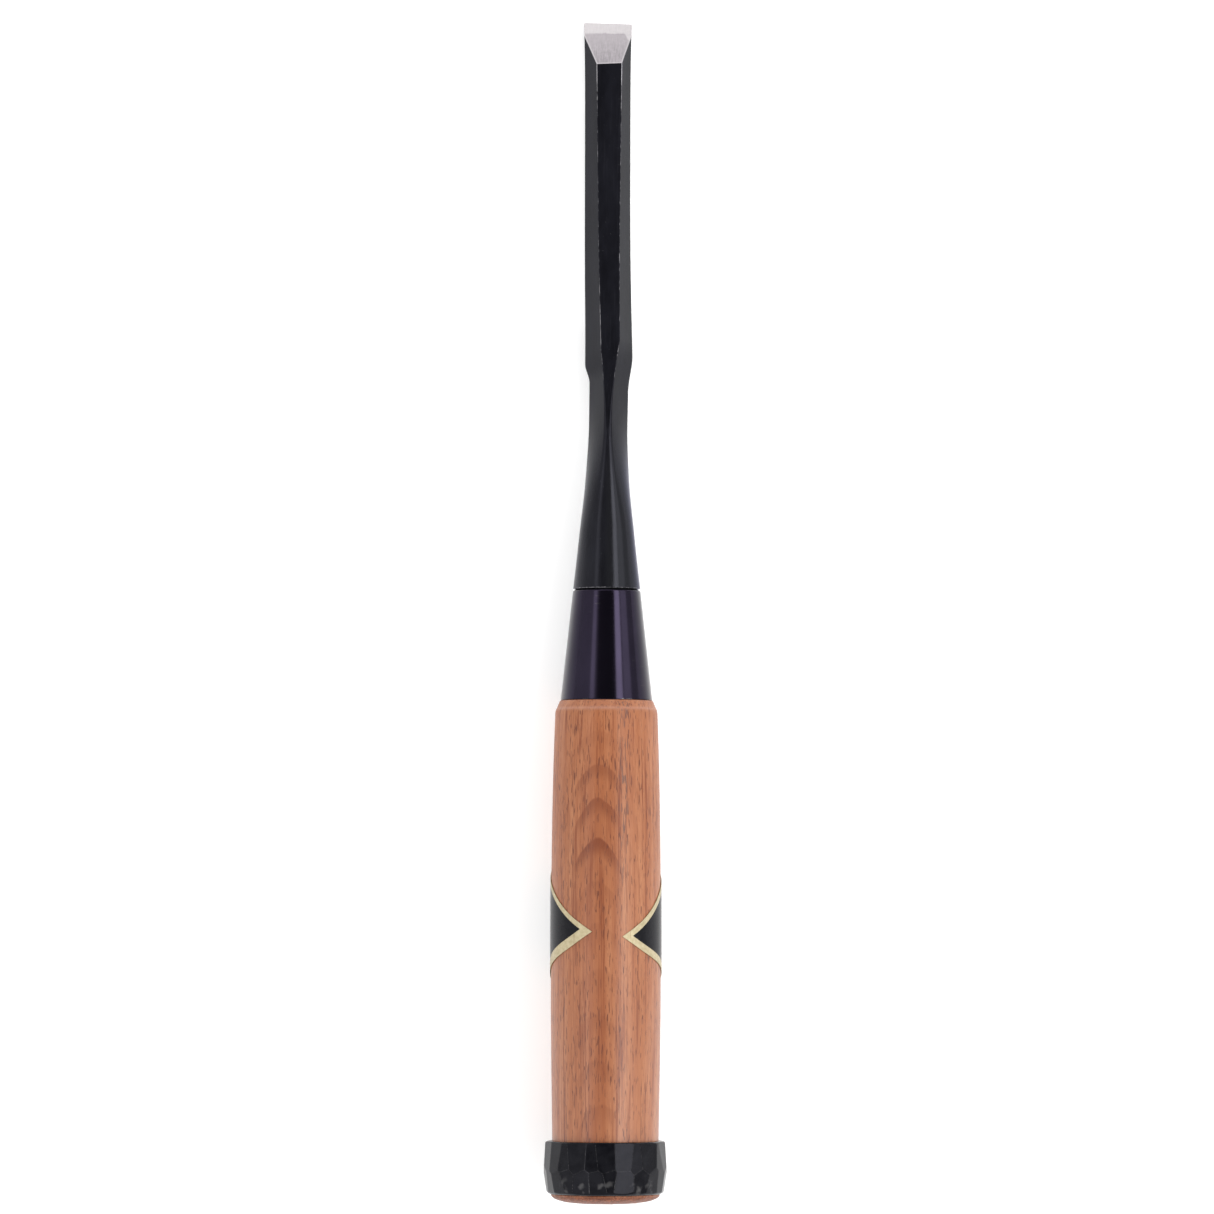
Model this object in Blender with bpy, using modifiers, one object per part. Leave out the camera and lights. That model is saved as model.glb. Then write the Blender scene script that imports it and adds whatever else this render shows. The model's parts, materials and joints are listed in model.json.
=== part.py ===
"""Striking chisel of the Japanese pattern, 9 mm wide, lying bevel up on a bench.

The tool comes apart into a forged iron body with its tang, the hard cutting steel
welded under it, a conical ferrule, a turned wooden handle, the iron hoop round the
struck end and the printed film wrapped round the handle.

Every piece is drawn along one tool axis. Stations are distances back from the
cutting edge along that axis, so a station s lies at y = -s, with the bevel side up.
An empty then tips the whole tool onto the bench. Lengths are in metres.
"""

import math

import bmesh
import bpy

MM = 0.001

# Clearance between pieces that seat on each other
GAP = 0.3 * MM

# Blade, from the cutting edge to the start of the neck
BLADE_LENGTH = 63.8 * MM
EDGE_WIDTH = 9.04 * MM
WAIST_WIDTH = 8.5 * MM
WAIST_STATION = 33.0 * MM
SHOULDER_WIDTH = 8.9 * MM
HEEL_THICKNESS = 4.5 * MM
SHOULDER_THICKNESS = 5.75 * MM
SIDE_WALL = 1.45 * MM
SIDE_CHAMFER_ANGLE = math.radians(57.0)
BEVEL_ANGLE = math.radians(28.7)
BACK_DROP = 3.7 * MM

# Hard steel plate welded to the back, and the hollow ground into it
STEEL_THICKNESS = 1.2 * MM
STEEL_SCARF = 6.0 * MM
STEEL_SETBACK = 7.0 * MM
HOLLOW_DEPTH = 0.5 * MM
HOLLOW_SIDE_LAND = 1.1 * MM
HOLLOW_EDGE_LAND = 6.0 * MM
HOLLOW_REAR_LAND = 3.0 * MM
HOLLOW_NOSE = 4.0 * MM

# Neck and the flare up to the collar that bears on the ferrule
NECK_RUN_IN = 4.5 * MM
NECK_LENGTH = 7.5 * MM
NECK_WIDTH = 7.45 * MM
FLARE_LENGTH = 30.4 * MM
FLARE_POWER = 1.45
RIDGE_WIDTH = 0.4 * MM
COLLAR_DIAMETER = 12.5 * MM

# Square tang driven into the handle
TANG_LENGTH = 52.0 * MM
TANG_ROOT = 4.6 * MM
TANG_TIP = 2.2 * MM

# Conical ferrule
FERRULE_LENGTH = 20.4 * MM
FERRULE_WALL = 1.3 * MM
FERRULE_PROUD = 0.05 * MM
FERRULE_EDGE = 0.25 * MM

# Turned handle
HANDLE_FRONT_DIAMETER = 18.8 * MM
HANDLE_BELLY_DIAMETER = 20.37 * MM
HANDLE_REAR_DIAMETER = 19.7 * MM
HANDLE_FRONT_LENGTH = 55.3 * MM
HANDLE_REAR_LENGTH = 25.9 * MM
SHOULDER_CHAMFER = 0.9 * MM
SHOULDER_ROUND = 1.5 * MM
HEAD_LENGTH = 1.8 * MM
HEAD_FLAT = 3.6 * MM
HEAD_PROUD = 0.25 * MM

# Hoop driven onto the struck end
HOOP_LENGTH = 9.8 * MM
HOOP_WALL = 1.62 * MM
HOOP_RIM_WALL = 0.8 * MM
HOOP_SEAT_STEP = 0.25 * MM

# Printed film wrapped round the handle, its two pointed ends facing each other on top
LABEL_SETBACK = 32.6 * MM
LABEL_WIDTH = 19.8 * MM
LABEL_THICKNESS = 0.2 * MM
LABEL_POINT_GAP = 6.0 * MM
LABEL_POINT_LENGTH = 15.1 * MM
LABEL_POINT_BLUNT = 0.3 * MM

# Facets round a turned piece, turned half a facet so that a flat faces the bench
TURNED_STEPS = 24
HALF_FACET = math.pi / TURNED_STEPS

# Stations worked out from the lengths above
NECK_START = BLADE_LENGTH + NECK_RUN_IN
FLARE_START = NECK_START + NECK_LENGTH
COLLAR_STATION = FLARE_START + FLARE_LENGTH
FERRULE_START = COLLAR_STATION + GAP
FERRULE_END = FERRULE_START + FERRULE_LENGTH
HANDLE_START = FERRULE_END + GAP
HANDLE_BELLY = HANDLE_START + HANDLE_FRONT_LENGTH
HOOP_START = HANDLE_BELLY + HANDLE_REAR_LENGTH
HOOP_END = HOOP_START + HOOP_LENGTH
TOOL_LENGTH = HOOP_END + HEAD_LENGTH

# Radii that fit one piece to the next
COLLAR_RADIUS = COLLAR_DIAMETER / 2
FERRULE_FRONT_RADIUS = COLLAR_RADIUS + FERRULE_PROUD
HANDLE_FRONT_RADIUS = HANDLE_FRONT_DIAMETER / 2
FERRULE_REAR_RADIUS = HANDLE_FRONT_RADIUS - SHOULDER_CHAMFER
HANDLE_REAR_RADIUS = HANDLE_REAR_DIAMETER / 2
SEAT_RADIUS = HANDLE_REAR_RADIUS - HOOP_SEAT_STEP
HOOP_BORE_RADIUS = SEAT_RADIUS + GAP


def smoothstep(value, start, end):
    """Ease from 0 at start to 1 at end."""
    share = min(max((value - start) / (end - start), 0.0), 1.0)
    return share * share * (3.0 - 2.0 * share)


def blend(first, second, share):
    return first + (second - first) * share


# ---------------------------------------------------------------- scene helpers


def clear_scene():
    for leftover in list(bpy.data.objects):
        bpy.data.objects.remove(leftover, do_unlink=True)


def new_collection(name):
    collection = bpy.data.collections.new(name)
    bpy.context.scene.collection.children.link(collection)
    return collection


def move_to(collection, obj):
    for holder in list(obj.users_collection):
        holder.objects.unlink(obj)
    collection.objects.link(obj)


def mesh_object(name, bm, collection, rest):
    mesh = bpy.data.meshes.new(name)
    bm.to_mesh(mesh)
    bm.free()
    obj = bpy.data.objects.new(name, mesh)
    collection.objects.link(obj)
    obj.parent = rest
    return obj


def make_material(name, colour, roughness, metallic):
    material = bpy.data.materials.new(name)
    material.use_nodes = True
    shader = material.node_tree.nodes["Principled BSDF"]
    shader.inputs["Base Color"].default_value = (*colour, 1.0)
    shader.inputs["Roughness"].default_value = roughness
    shader.inputs["Metallic"].default_value = metallic
    return material


def finish(obj, material):
    obj.data.materials.append(material)
    obj.data.shade_smooth()
    obj.data.set_sharp_from_angle(angle=math.radians(25.0))


def as_cutter(obj, collection):
    move_to(collection, obj)
    obj.hide_render = True
    obj.display_type = "WIRE"
    return obj


def boolean(obj, other, operation):
    modifier = obj.modifiers.new(f"{operation.lower()} {other.name}", "BOOLEAN")
    modifier.operation = operation
    modifier.object = other
    modifier.solver = "EXACT"


def turned(name, profile, collection, rest, closed=False):
    """Turn (station, radius) points about the tool axis, outer side from front to rear."""
    bm = bmesh.new()
    across, aside = math.cos(HALF_FACET), math.sin(HALF_FACET)
    points = [bm.verts.new((radius * across, radius * aside, -station)) for station, radius in profile]
    for first, second in zip(points, points[1:]):
        bm.edges.new((first, second))
    if closed:
        bm.edges.new((points[-1], points[0]))
    obj = mesh_object(name, bm, collection, rest)
    obj.rotation_euler.x = -math.pi / 2
    screw = obj.modifiers.new("turn", "SCREW")
    screw.steps = TURNED_STEPS
    screw.render_steps = TURNED_STEPS
    screw.use_merge_vertices = True
    screw.merge_threshold = 0.00001
    screw.use_smooth_shade = True
    return obj


def loft(name, sections, collection, rest):
    """Skin rings of (x, y, z) points, each ring with the same count, and cap the ends."""
    bm = bmesh.new()
    rings = [[bm.verts.new(point) for point in section] for section in sections]
    for front, rear in zip(rings, rings[1:]):
        for index in range(len(front)):
            following = (index + 1) % len(front)
            bm.faces.new((front[index], front[following], rear[following], rear[index]))
    bm.faces.new(list(reversed(rings[0])))
    bm.faces.new(rings[-1])
    bmesh.ops.recalc_face_normals(bm, faces=bm.faces)
    return mesh_object(name, bm, collection, rest)


def side_prism(name, outline, half_width, collection, rest):
    """Extrude a (station, z) outline across the tool."""
    curve = bpy.data.curves.new(name, "CURVE")
    curve.dimensions = "2D"
    curve.fill_mode = "BOTH"
    curve.extrude = half_width
    spline = curve.splines.new("POLY")
    spline.points.add(len(outline) - 1)
    for point, (station, height) in zip(spline.points, outline):
        point.co = (-station, height, 0.0, 1.0)
    spline.use_cyclic_u = True
    drawn = bpy.data.objects.new(name, curve)
    collection.objects.link(drawn)
    drawn.rotation_euler = (math.pi / 2, 0.0, math.pi / 2)
    bpy.context.view_layer.update()
    evaluated = drawn.evaluated_get(bpy.context.evaluated_depsgraph_get())
    mesh = bpy.data.meshes.new_from_object(evaluated)
    bm = bmesh.new()
    bm.from_mesh(mesh)
    bmesh.ops.remove_doubles(bm, verts=bm.verts, dist=0.00001)
    bmesh.ops.transform(bm, matrix=drawn.matrix_world, verts=bm.verts)
    bmesh.ops.recalc_face_normals(bm, faces=bm.faces)
    bpy.data.objects.remove(drawn, do_unlink=True)
    bpy.data.meshes.remove(mesh)
    return mesh_object(name, bm, collection, rest)


# ---------------------------------------------------------------- shared outlines


def handle_radius(station):
    """Grip radius between the ferrule and the hoop."""
    belly = HANDLE_BELLY_DIAMETER / 2
    if station < HANDLE_BELLY:
        away = (HANDLE_BELLY - station) / HANDLE_FRONT_LENGTH
        return blend(belly, HANDLE_FRONT_RADIUS, away**3)
    away = (station - HANDLE_BELLY) / HANDLE_REAR_LENGTH
    return blend(belly, HANDLE_REAR_RADIUS, away**1.3)


def grip_profile():
    """Outer points of the handle from the ferrule to the hoop."""
    crease = HANDLE_START + SHOULDER_ROUND
    points = [(HANDLE_START, FERRULE_REAR_RADIUS + FERRULE_PROUD)]
    points.append((crease, handle_radius(crease) - SHOULDER_CHAMFER / 5))
    first = crease + SHOULDER_ROUND
    count = 12
    for index in range(count + 1):
        station = blend(first, HOOP_START - GAP, index / count)
        points.append((station, handle_radius(station)))
    return points


def hoop_outer_profile():
    """Barrel-shaped outside of the hoop between its two rims."""
    count = 8
    points = []
    for index in range(count + 1):
        share = index / count
        bulge = math.sin(math.pi * blend(0.06, 0.94, share)) ** 0.45
        radius = HOOP_BORE_RADIUS + blend(HOOP_RIM_WALL, HOOP_WALL, bulge)
        points.append((blend(HOOP_START, HOOP_END, share), radius))
    return points


def rest_angle():
    """Pitch at which the edge and the proudest ring of the tool touch the bench."""
    rings = grip_profile() + hoop_outer_profile()
    flat = math.cos(HALF_FACET)
    return max(math.atan2(radius * flat - BACK_DROP, station) for station, radius in rings)


def make_rest():
    """The empty that lays the tool on the bench, centred over the origin."""
    rest = bpy.data.objects.new("bench_rest", None)
    bpy.context.scene.collection.objects.link(rest)
    angle = rest_angle()
    rest.rotation_euler.x = -angle
    length = TOOL_LENGTH * math.cos(angle) + BACK_DROP * math.sin(angle)
    rest.location = (0.0, length / 2, BACK_DROP * math.cos(angle))
    return rest


# ---------------------------------------------------------------- blade sections


def blade_width(station):
    if station < WAIST_STATION:
        away = (WAIST_STATION - station) / WAIST_STATION
        return blend(WAIST_WIDTH, EDGE_WIDTH, away**6)
    away = (station - WAIST_STATION) / (BLADE_LENGTH - WAIST_STATION)
    return blend(WAIST_WIDTH, SHOULDER_WIDTH, away**2)


def blade_thickness(station):
    heel = HEEL_THICKNESS / math.tan(BEVEL_ANGLE)
    away = max(station - heel, 0.0) / (BLADE_LENGTH - heel)
    return blend(HEEL_THICKNESS, SHOULDER_THICKNESS, away**1.6)


def flare_radius(station):
    away = max(station - FLARE_START, 0.0) / FLARE_LENGTH
    return blend(NECK_WIDTH / 2, COLLAR_RADIUS, away**FLARE_POWER)


def section_corners(station):
    """Six corners of the bevelled section: half widths and heights of its three levels."""
    on_blade = min(station, BLADE_LENGTH)
    half = blade_width(on_blade) / 2
    chamfer_rise = blade_thickness(on_blade) - SIDE_WALL
    flat = half - chamfer_rise / math.tan(SIDE_CHAMFER_ANGLE)
    blade = (half, -BACK_DROP, half, SIDE_WALL - BACK_DROP, flat, SIDE_WALL + chamfer_rise - BACK_DROP)
    radius = flare_radius(station)
    neck = (0.7 * radius, -0.9 * radius, radius, -0.54 * radius, RIDGE_WIDTH / 2, radius)
    narrowing = smoothstep(station, BLADE_LENGTH, NECK_START)
    ridging = smoothstep(station, BLADE_LENGTH, FLARE_START + NECK_LENGTH / 2)
    shares = (narrowing, narrowing, narrowing, narrowing, ridging, ridging)
    return [blend(first, second, share) for first, second, share in zip(blade, neck, shares)]


def body_section(station):
    """Ring of 32 points that eases from the bevelled blade to a circle at the collar."""
    low_half, low, wall_half, wall_top, flat_half, top = section_corners(station)
    corners = [(-low_half, low), (low_half, low), (wall_half, wall_top)]
    corners += [(flat_half, top), (-flat_half, top), (-wall_half, wall_top)]
    angles = [-135.0, -45.0, -22.5, 67.5, 112.5, 202.5, 225.0]
    counts = [8, 2, 8, 4, 8, 2]
    rounding = smoothstep(station, FLARE_START - NECK_LENGTH, FLARE_START + FLARE_LENGTH * 0.7)
    radius = flare_radius(station)
    ring = []
    for side, count in enumerate(counts):
        start, end = corners[side], corners[(side + 1) % len(corners)]
        for step in range(count):
            share = step / count
            angle = math.radians(blend(angles[side], angles[side + 1], share))
            x = blend(blend(start[0], end[0], share), radius * math.cos(angle), rounding)
            z = blend(blend(start[1], end[1], share), radius * math.sin(angle), rounding)
            ring.append((x, -station, z))
    return ring


def blade_stations(last):
    """Loft stations, closest together where the section changes fastest."""
    stations = [blend(-2.0 * MM, BLADE_LENGTH, index / 10) for index in range(11)]
    stations += [blend(BLADE_LENGTH, NECK_START, index / 4) for index in range(1, 5)]
    stations += [blend(NECK_START, FLARE_START, index / 3) for index in range(1, 4)]
    stations += [blend(FLARE_START, COLLAR_STATION, index / 9) for index in range(1, 10)]
    return [station for station in stations if station <= last]


# ---------------------------------------------------------------- cutters


def bevel_cutter(collection, rest):
    """Block whose underside is the ground bevel."""
    size = 40.0 * MM
    bpy.ops.mesh.primitive_cube_add(size=size)
    block = bpy.context.object
    block.name = "bevel_cutter"
    block.parent = rest
    block.rotation_euler.x = -BEVEL_ANGLE
    lift = size / 2
    block.location = (0.0, lift * math.sin(BEVEL_ANGLE), lift * math.cos(BEVEL_ANGLE) - BACK_DROP)
    return as_cutter(block, collection)


def steel_slab(name, clearance, collection, rest):
    """Side shape of the hard steel, thinning to a scarf at its rear, grown by a clearance."""
    rear = BLADE_LENGTH - STEEL_SETBACK
    scarf_start = rear - STEEL_SCARF
    slant = math.hypot(STEEL_SCARF, STEEL_THICKNESS)
    below = 1.0 * MM
    top = STEEL_THICKNESS + clearance
    corner = scarf_start + clearance * (slant - STEEL_SCARF) / STEEL_THICKNESS
    reach = clearance * slant + STEEL_SCARF * (STEEL_THICKNESS + below)
    tail = scarf_start + reach / STEEL_THICKNESS
    front = -5.0 * MM
    outline = [(front, -below), (front, top), (corner, top), (tail, -below)]
    outline = [(station, height - BACK_DROP) for station, height in outline]
    return as_cutter(side_prism(name, outline, SHOULDER_WIDTH + EDGE_WIDTH, collection, rest), collection)


def hollow_cutter(collection, rest):
    """Long round-nosed form that grinds the hollow into the flat back."""
    half_width = WAIST_WIDTH / 2 - HOLLOW_SIDE_LAND
    radius = (half_width**2 + HOLLOW_DEPTH**2) / (2 * HOLLOW_DEPTH)
    front = HOLLOW_EDGE_LAND
    rear = BLADE_LENGTH - STEEL_SETBACK - STEEL_SCARF - HOLLOW_REAR_LAND
    dip = radius - HOLLOW_DEPTH
    count = 6
    nose = []
    for index in range(count + 1):
        turn = math.pi / 2 * index / count
        nose.append((HOLLOW_NOSE * (1 - math.cos(turn)), dip + HOLLOW_DEPTH * math.sin(turn)))
    profile = [(front, 0.0)]
    profile += [(front + along, height) for along, height in nose]
    profile += [(rear - along, height) for along, height in reversed(nose)]
    profile += [(rear, 0.0)]
    form = turned("hollow_cutter", profile, collection, rest)
    form.location.z = -BACK_DROP - dip
    return as_cutter(form, collection)


def square_taper(name, start, length, root, tip, collection, rest):
    """Square bar along the tool axis, tapering towards the rear."""
    half_diagonal = math.sqrt(0.5)
    bpy.ops.mesh.primitive_cone_add(
        vertices=4, radius1=root * half_diagonal, radius2=tip * half_diagonal, depth=length
    )
    bar = bpy.context.object
    bar.name = name
    bar.data.transform(bar.matrix_basis.Rotation(math.pi / 4, 4, "Z"))
    bar.parent = rest
    bar.rotation_euler.x = math.pi / 2
    bar.location.y = -start - length / 2
    return as_cutter(bar, collection)


# ---------------------------------------------------------------- pieces


def make_blade(parts, cutters, rest, bevel):
    """Iron body, neck, collar and tang, forged as one."""
    sections = [body_section(station) for station in blade_stations(COLLAR_STATION)]
    blade = loft("blade", sections, parts, rest)
    overlap = 1.0 * MM
    length = TANG_LENGTH + overlap
    tang = square_taper("tang_bar", COLLAR_STATION - overlap, length, TANG_ROOT, TANG_TIP, cutters, rest)
    boolean(blade, tang, "UNION")
    boolean(blade, steel_slab("steel_seat", GAP, cutters, rest), "DIFFERENCE")
    boolean(blade, bevel, "DIFFERENCE")
    finish(blade, make_material("forged_iron", (0.015, 0.015, 0.018), 0.45, 0.9))


def make_cutting_steel(parts, cutters, rest, bevel):
    """Hard plate under the blade, with its hollow-ground back."""
    sections = [body_section(station) for station in blade_stations(BLADE_LENGTH)]
    steel = loft("cutting_steel", sections, parts, rest)
    boolean(steel, steel_slab("steel_slab", 0.0, cutters, rest), "INTERSECT")
    boolean(steel, bevel, "DIFFERENCE")
    boolean(steel, hollow_cutter(cutters, rest), "DIFFERENCE")
    finish(steel, make_material("hard_steel", (0.62, 0.6, 0.61), 0.3, 1.0))


def make_ferrule(parts, rest):
    """Conical tube between the collar and the handle's shoulder."""
    front, rear = FERRULE_FRONT_RADIUS, FERRULE_REAR_RADIUS
    profile = [(FERRULE_START, front - FERRULE_EDGE), (FERRULE_START + FERRULE_EDGE, front)]
    profile += [(FERRULE_END - FERRULE_EDGE, rear), (FERRULE_END, rear - FERRULE_EDGE)]
    profile += [(FERRULE_END, rear - FERRULE_WALL), (FERRULE_START, front - FERRULE_WALL)]
    ferrule = turned("ferrule", profile, parts, rest, closed=True)
    finish(ferrule, make_material("blued_ferrule", (0.045, 0.035, 0.06), 0.35, 1.0))


def make_handle(parts, cutters, rest):
    """Turned grip with a nose in the ferrule, a seat for the hoop and a struck head."""
    nose_front = FERRULE_FRONT_RADIUS - FERRULE_WALL - GAP
    nose_rear = FERRULE_REAR_RADIUS - FERRULE_WALL - GAP
    profile = [(FERRULE_START, 0.0), (FERRULE_START, nose_front), (HANDLE_START, nose_rear)]
    profile += grip_profile()
    head_start = HOOP_END + GAP
    head_radius = HANDLE_REAR_RADIUS + HEAD_PROUD
    profile += [(HOOP_START - GAP, SEAT_RADIUS), (head_start, SEAT_RADIUS)]
    dome = TOOL_LENGTH - head_start
    count = 6
    for index in range(count + 1):
        turn = math.pi / 2 * index / count
        radius = HEAD_FLAT + (head_radius - HEAD_FLAT) * math.cos(turn)
        profile.append((head_start + dome * math.sin(turn), radius))
    profile += [(TOOL_LENGTH, 0.0)]
    handle = turned("handle", profile, parts, rest)
    hole_front = FERRULE_START - GAP
    bore = square_taper(
        "tang_hole",
        hole_front,
        TANG_LENGTH + GAP,
        TANG_ROOT + 2 * GAP,
        TANG_TIP + 2 * GAP,
        cutters,
        rest,
    )
    boolean(handle, bore, "DIFFERENCE")
    finish(handle, make_material("handle_wood", (0.5, 0.22, 0.13), 0.5, 0.0))


def make_hoop(parts, rest):
    """Forged ring that stops the handle from splitting."""
    profile = hoop_outer_profile()
    profile += [(HOOP_END, HOOP_BORE_RADIUS), (HOOP_START, HOOP_BORE_RADIUS)]
    hoop = turned("hoop", profile, parts, rest, closed=True)
    finish(hoop, make_material("blackened_iron", (0.02, 0.02, 0.022), 0.4, 0.9))


def make_label(parts, rest):
    """Thin film round the handle: a strip whose two ends narrow to points."""
    centre = HANDLE_START + LABEL_SETBACK + LABEL_WIDTH / 2
    seat = handle_radius(centre) + GAP
    half_gap = LABEL_POINT_GAP / 2
    half_wrap = math.pi * seat - half_gap
    bm = bmesh.new()
    bmesh.ops.create_grid(bm, x_segments=56, y_segments=6, size=1.0)
    for vert in bm.verts:
        around, along = vert.co.x, vert.co.y
        from_point = half_wrap * (1 - abs(around))
        taper = min(from_point / LABEL_POINT_LENGTH, 1.0)
        half_height = blend(LABEL_POINT_BLUNT, LABEL_WIDTH, taper) / 2
        station = centre - along * half_height
        radius = handle_radius(station) + GAP
        angle = around * half_wrap / seat
        vert.co = (-radius * math.sin(angle), -station, -radius * math.cos(angle))
    label = mesh_object("handle_label", bm, parts, rest)
    film = label.modifiers.new("film", "SOLIDIFY")
    film.thickness = LABEL_THICKNESS
    film.offset = 1.0
    finish(label, make_material("label_film", (0.55, 0.48, 0.3), 0.35, 0.6))


def main():
    clear_scene()
    parts = new_collection("mortise_chisel")
    cutters = new_collection("cutters")
    rest = make_rest()
    bevel = bevel_cutter(cutters, rest)
    make_blade(parts, cutters, rest, bevel)
    make_cutting_steel(parts, cutters, rest, bevel)
    make_ferrule(parts, rest)
    make_handle(parts, cutters, rest)
    make_hoop(parts, rest)
    make_label(parts, rest)


main()
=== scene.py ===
"""Looks of the striking chisel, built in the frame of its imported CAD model.

All meshes are drawn in the tool's own frame: x across, y towards the cutting edge and z up on the
bevel side, with the tool axis on x = z = 0. A station is the distance back from the edge, so a
station s lies at y = -s. The empty frame of the CAD then says how the tool lies on the bench.
Lengths are in millimetres until a mesh is made.
"""

import json
import math

import bpy
import numpy as np
from mathutils import Matrix, Vector, noise


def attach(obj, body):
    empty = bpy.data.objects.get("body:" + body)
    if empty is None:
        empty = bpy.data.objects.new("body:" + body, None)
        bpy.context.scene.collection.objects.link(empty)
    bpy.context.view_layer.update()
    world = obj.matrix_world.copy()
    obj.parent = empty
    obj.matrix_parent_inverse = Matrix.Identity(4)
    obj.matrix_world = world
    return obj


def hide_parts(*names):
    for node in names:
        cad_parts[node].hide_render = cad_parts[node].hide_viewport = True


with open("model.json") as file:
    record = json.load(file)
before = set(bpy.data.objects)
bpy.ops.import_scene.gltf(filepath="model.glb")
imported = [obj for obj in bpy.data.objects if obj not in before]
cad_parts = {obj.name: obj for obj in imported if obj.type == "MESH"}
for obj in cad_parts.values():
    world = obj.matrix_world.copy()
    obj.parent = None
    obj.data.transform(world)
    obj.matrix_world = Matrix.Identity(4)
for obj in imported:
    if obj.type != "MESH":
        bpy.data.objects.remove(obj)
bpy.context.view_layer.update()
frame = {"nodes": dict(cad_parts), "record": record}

MM = 0.001
TOOL_LENGTH = 220.0
GAP = 0.3  # between two pieces in the CAD
SEAM = 0.05  # what is left of it at the ferrule, where it shows

# Blade
EDGE_HALF = 4.52
WAIST_HALF = 4.25
WAIST_STATION = 33.0
SHOULDER_HALF = 4.45
BLADE_END = 63.8
BACK = -3.7
HEEL_THICKNESS = 4.5
SHOULDER_THICKNESS = 5.75
SIDE_WALL = 1.45
BEVEL_SLOPE = math.tan(math.radians(28.7))
EDGE_THICKNESS = 0.015
STEEL_THICKNESS = 1.2
HOLLOW_DEPTH = 0.5
HOLLOW_HALF = 3.15
HOLLOW_FRONT = 6.0
HOLLOW_NOSE = 4.0
WHOLE_BEVEL = 2.75  # up to here the bevel is as wide as the blade
FLAT_LEFT = -2.13
FLAT_RIGHT = 2.71
FLAT_TAPER = 0.011
EDGE_SLANT = 0.03
HEEL_SLANT = 0.04
CORNER_STEPS = 3

# Neck, flare and collar
NECK_START = 68.3
FLARE_START = 75.8
NECK_RADIUS = 3.72
COLLAR_RADIUS = 6.25
FLARE_POWER = 1.45
RIDGE_HALF = 0.16
RIDGE_START = 82.0
NECK_SHIFT = 0.32
NECK_SHIFT_STATION = 66.0
NECK_SHIFT_LENGTH = 16.0

# Tang
TANG_LENGTH = 52.0
TANG_ROOT = 2.3
TANG_TIP = 1.1
TANG_CLEARANCE = 0.3

# Ferrule
FERRULE_FRONT = 6.3
FERRULE_REAR = 8.5
FERRULE_WALL = 1.3

# Handle
FRONT_RADIUS = 9.4
BELLY_RADIUS = 10.185
REAR_RADIUS = 9.85
FRONT_LENGTH = 55.3
REAR_LENGTH = 25.9
HEAD_RADIUS = 10.1
HEAD_FLAT = 3.6
CREASE = 1.5  # from the front of the wood to its crushed shoulder

# Growth rings in the handle, and the stations where their arches come and go
PITH_X = 3.3
PITH_DEPTH = 20.0
PITH_STATION = 147.2
PITH_DROP = 0.16
RING_SPACING = 1.25
ARCHES_MIDDLE = -1.6
ARCHES_START = 133.0
ARCHES_FULL = 143.0
ARCHES_FADE = 154.0
ARCHES_END = 162.0

# Hoop
HOOP_RADIUS = 11.48
HOOP_BORE = 9.9
FACETS_ROUND = 24

# Label
LABEL_HALF = 9.95
LABEL_CENTRE = 42.5
LABEL_SLOPE = 0.66
LABEL_FILM = 0.09


def smoothstep(value, start, end):
    share = np.clip((value - start) / (end - start), 0.0, 1.0)
    return share * share * (3.0 - 2.0 * share)


def blend(first, second, share):
    return first + (second - first) * share


def tool_frame():
    """Matrix of the tool's own frame, read from the struck end of the CAD model."""
    mounts = {mount["name"]: mount for mount in frame["record"]["mounts"]}
    struck = mounts["struck_end"]
    rearward = Vector(struck["axis"]).normalized()
    edge = Vector(struck["pos_m"]) - rearward * TOOL_LENGTH * MM
    across = Vector((1.0, 0.0, 0.0))
    upward = across.cross(-rearward)
    matrix = Matrix((across, -rearward, upward)).transposed().to_4x4()
    matrix.translation = edge
    return matrix


TOOL = tool_frame()


def span(node):
    """First and last station of a CAD node."""
    inverse = TOOL.inverted()
    stations = [-(inverse @ vert.co).y / MM for vert in frame["nodes"][node].data.vertices]
    return min(stations), max(stations)


FERRULE_START, FERRULE_END = span("ferrule")
HOOP_START, HOOP_END = span("hoop")
STEEL_END = span("cutting_steel")[1]
COLLAR = FERRULE_START - GAP
HANDLE_START = FERRULE_END + SEAM
BELLY = FERRULE_END + GAP + FRONT_LENGTH
STEEL_SCARF_START = STEEL_END - 6.0


# ---------------------------------------------------------------- meshes


def add_piece(name, points, faces, values):
    """Make a mesh object from points in the tool's frame, with named values kept on them.

    Points are moved into the CAD's frame, and none goes under the bench.
    """
    turn, start = np.array(TOOL.to_3x3()), np.array(TOOL.translation)
    placed = np.asarray(points) * MM @ turn.T + start
    placed[:, 2] = np.maximum(placed[:, 2], 0.0)
    mesh = bpy.data.meshes.new(name)
    mesh.from_pydata(placed.tolist(), [], faces)
    mesh.update()
    for key, numbers in values.items():
        layer = mesh.attributes.new(key, "FLOAT", "POINT")
        layer.data.foreach_set("value", np.asarray(numbers, dtype=np.float32).ravel())
    mesh.shade_smooth()
    piece = bpy.data.objects.new(name, mesh)
    bpy.context.scene.collection.objects.link(piece)
    return piece


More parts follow.
